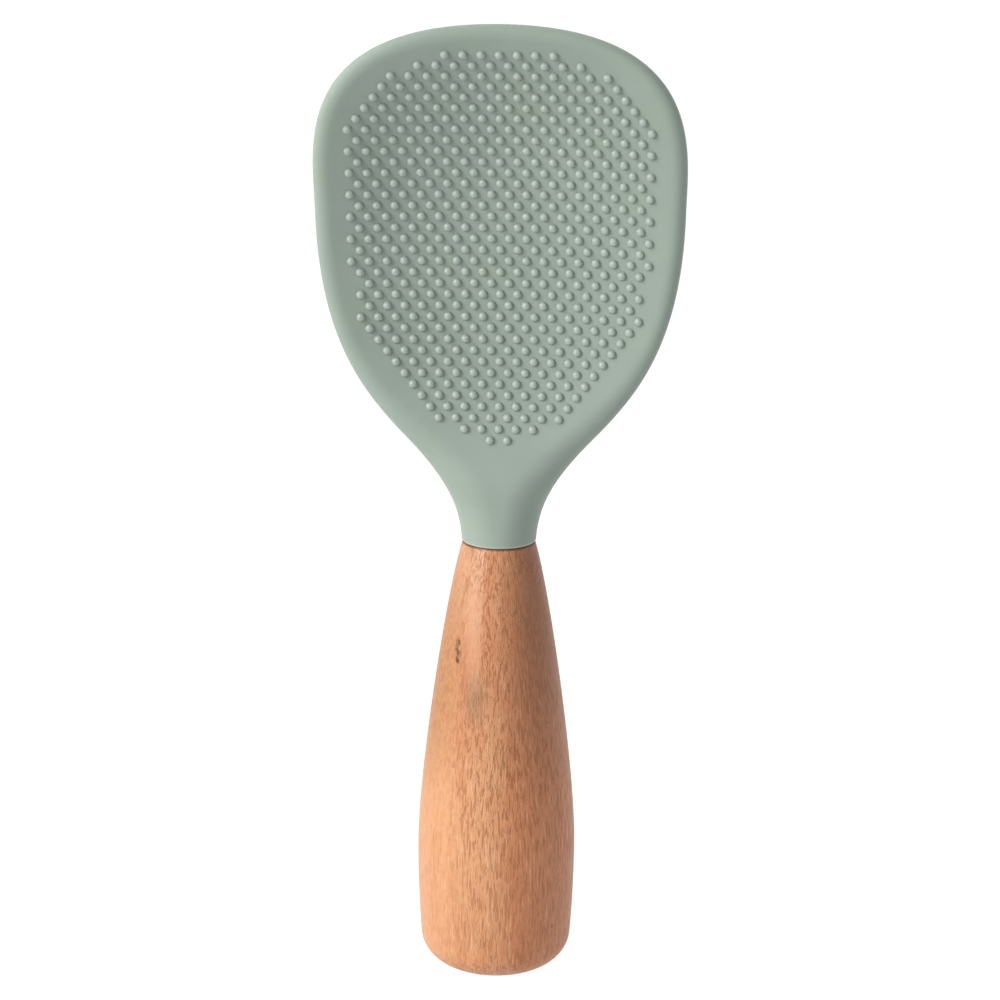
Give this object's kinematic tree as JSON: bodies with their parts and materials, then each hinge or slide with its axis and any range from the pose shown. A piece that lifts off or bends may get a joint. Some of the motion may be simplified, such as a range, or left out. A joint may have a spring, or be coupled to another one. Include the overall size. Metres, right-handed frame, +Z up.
{
  "type": "rice paddle",
  "caption": "Free-standing rice paddle: a dished silicone scoop with a studded non-stick face, moulded over a stiff core, on a turned wooden handle with a flat base.",
  "frame": {"origin": "centre of the handle's flat base", "axes": "+Z up along the handle to the tip of the head, the dished and studded face looks along -Y, +X to the right seen from that face"},
  "size_m": [0.0732, 0.0338, 0.1995],
  "materials": {
    "silicone": "soft matt grey-green silicone",
    "nylon": "as moulded, hidden inside",
    "beech": "fine-sanded and lightly oiled beech",
    "glue": "cured clear epoxy, hidden in the bore"
  },
  "bodies": {
    "root": {"silicone_head": "silicone", "core": "nylon", "handle": "beech", "tang_glue": "glue"}
  },
  "joints": []
}
